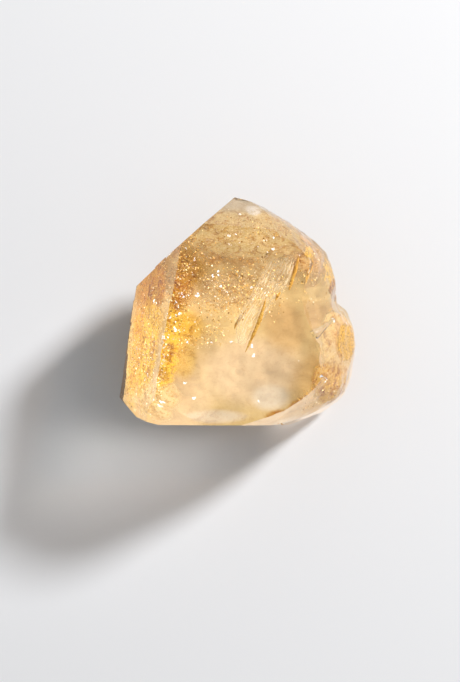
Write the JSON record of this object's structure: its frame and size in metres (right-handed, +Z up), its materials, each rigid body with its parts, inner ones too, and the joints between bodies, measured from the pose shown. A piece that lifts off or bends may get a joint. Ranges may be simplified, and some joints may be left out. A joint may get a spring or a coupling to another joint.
{
  "type": "quartz crystal point",
  "caption": "Golden, see-through quartz crystal lying on a prism face, with grown faces and a point at one end and a broken side.",
  "frame": {"origin": "middle of the footprint's box, on the table", "axes": "+Z up from the prism face that it lies on, +Y towards the crystal's point, +X towards the broken side"},
  "size_m": [0.0662, 0.0632, 0.0393],
  "materials": {
    "quartz": "clear honey-coloured quartz with golden flakes inside, natural and broken faces"
  },
  "bodies": {
    "root": {"crystal_point": "quartz"}
  },
  "joints": []
}
